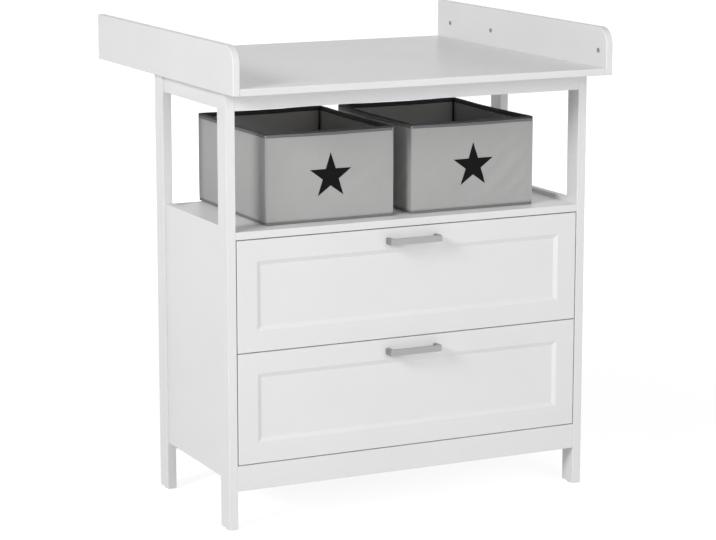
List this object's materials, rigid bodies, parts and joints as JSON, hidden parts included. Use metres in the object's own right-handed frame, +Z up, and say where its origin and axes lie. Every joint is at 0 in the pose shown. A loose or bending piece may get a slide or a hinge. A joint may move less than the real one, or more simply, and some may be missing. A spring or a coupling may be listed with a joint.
{
  "type": "changing dresser",
  "caption": "Nursery changing dresser: changing board with side guards over an open shelf with fabric boxes and sliding drawers with bar handles.",
  "frame": {"origin": "on the floor under the middle of the changing board", "axes": "+Z up, -Y towards the front with the drawers, +X to the right seen from the front"},
  "size_m": [0.872, 0.77, 1.014],
  "materials": {
    "white_paint": "satin white paint on board",
    "board_lacquer": "semi-gloss white lacquer on board",
    "white_hardboard": "white-faced hardboard",
    "drawer_board": "white foil on board",
    "beech": "plain fluted beech",
    "satin_metal": "satin",
    "zinc": "zinc plated",
    "white_enamel": "white enamel",
    "roller_plastic": "smooth nylon",
    "glide_plastic": "hard plastic",
    "grey_plastic": "smooth plastic",
    "grey_cloth": "stiffened woven cloth",
    "dark_tape": "woven edge tape",
    "star_cloth": "printed on the cloth",
    "insert_board": "cloth-covered board and lining"
  },
  "bodies": {
    "dresser": {"post_front_left": "white_paint", "post_front_right": "white_paint", "post_rear_left": "white_paint", "post_rear_right": "white_paint", "side_panel_left": "white_paint", "side_panel_right": "white_paint", "side_top_rail_left": "white_paint", "side_top_rail_right": "white_paint", "front_top_rail": "white_paint", "rear_top_rail": "white_paint", "front_bottom_rail": "white_paint", "rear_bottom_rail": "white_paint", "shelf": "white_paint", "bottom_board": "white_paint", "changing_board": "board_lacquer", "guard_left": "white_paint", "guard_right": "white_paint", "back_panel": "white_hardboard", "foot_glides": "glide_plastic", "guard_plugs": "grey_plastic", "body_dowels": "beech", "cam_locks": "zinc", "cam_bolts": "zinc", "tray_brackets": "zinc", "tray_bracket_screws": "zinc", "cabinet_runner_screws": "zinc", "cabinet_runners_upper": "white_enamel", "cabinet_runners_lower": "white_enamel"},
    "drawer_upper": {"drawer_upper_front": "white_paint", "drawer_upper_handle": "satin_metal", "drawer_upper_handle_screws": "zinc", "drawer_upper_side_left": "drawer_board", "drawer_upper_side_right": "drawer_board", "drawer_upper_back": "drawer_board", "drawer_upper_bottom": "white_hardboard", "drawer_upper_dowels": "beech", "drawer_upper_runners": "white_enamel", "drawer_upper_runner_screws": "zinc"},
    "upper_front_rollers": {"front_rollers_upper": "roller_plastic"},
    "upper_rear_rollers": {"drawer_upper_rear_rollers": "roller_plastic"},
    "drawer_lower": {"drawer_lower_front": "white_paint", "drawer_lower_handle": "satin_metal", "drawer_lower_handle_screws": "zinc", "drawer_lower_side_left": "drawer_board", "drawer_lower_side_right": "drawer_board", "drawer_lower_back": "drawer_board", "drawer_lower_bottom": "white_hardboard", "drawer_lower_dowels": "beech", "drawer_lower_runners": "white_enamel", "drawer_lower_runner_screws": "zinc"},
    "lower_front_rollers": {"front_rollers_lower": "roller_plastic"},
    "lower_rear_rollers": {"drawer_lower_rear_rollers": "roller_plastic"},
    "basket_left": {"basket_left_shell": "grey_cloth", "basket_left_binding": "dark_tape", "basket_left_base": "insert_board", "basket_left_star": "star_cloth"},
    "basket_right": {"basket_right_shell": "grey_cloth", "basket_right_binding": "dark_tape", "basket_right_base": "insert_board", "basket_right_star": "star_cloth"}
  },
  "joints": [
    {"name": "drawer_upper_slide", "type": "slide", "parent": "dresser", "child": "drawer_upper", "axis": [0, -1, 0], "range_m": [0, 0.25]},
    {"name": "upper_front_roller_spin", "type": "hinge", "parent": "dresser", "child": "upper_front_rollers", "pos_m": [0, -0.271, 0.4065], "axis": [1, 0, 0], "range_deg": [0, 1440]},
    {"name": "upper_rear_roller_spin", "type": "hinge", "parent": "drawer_upper", "child": "upper_rear_rollers", "pos_m": [0, 0.031, 0.402], "axis": [1, 0, 0], "range_deg": [0, 1440]},
    {"name": "drawer_lower_slide", "type": "slide", "parent": "dresser", "child": "drawer_lower", "axis": [0, -1, 0], "range_m": [0, 0.25]},
    {"name": "lower_front_roller_spin", "type": "hinge", "parent": "dresser", "child": "lower_front_rollers", "pos_m": [0, -0.271, 0.1705], "axis": [1, 0, 0], "range_deg": [0, 1440]},
    {"name": "lower_rear_roller_spin", "type": "hinge", "parent": "drawer_lower", "child": "lower_rear_rollers", "pos_m": [0, 0.031, 0.166], "axis": [1, 0, 0], "range_deg": [0, 1440]},
    {"name": "basket_left_slide", "type": "slide", "parent": "dresser", "child": "basket_left", "axis": [0, -1, 0], "range_m": [0, 0.3]},
    {"name": "basket_right_slide", "type": "slide", "parent": "dresser", "child": "basket_right", "axis": [0, -1, 0], "range_m": [0, 0.3]}
  ],
  "couplings": [
    {"joint": "upper_front_roller_spin", "follows": "drawer_upper_slide", "rad_per_m": 100},
    {"joint": "upper_rear_roller_spin", "follows": "drawer_upper_slide", "rad_per_m": 100},
    {"joint": "lower_front_roller_spin", "follows": "drawer_lower_slide", "rad_per_m": 100},
    {"joint": "lower_rear_roller_spin", "follows": "drawer_lower_slide", "rad_per_m": 100}
  ]
}
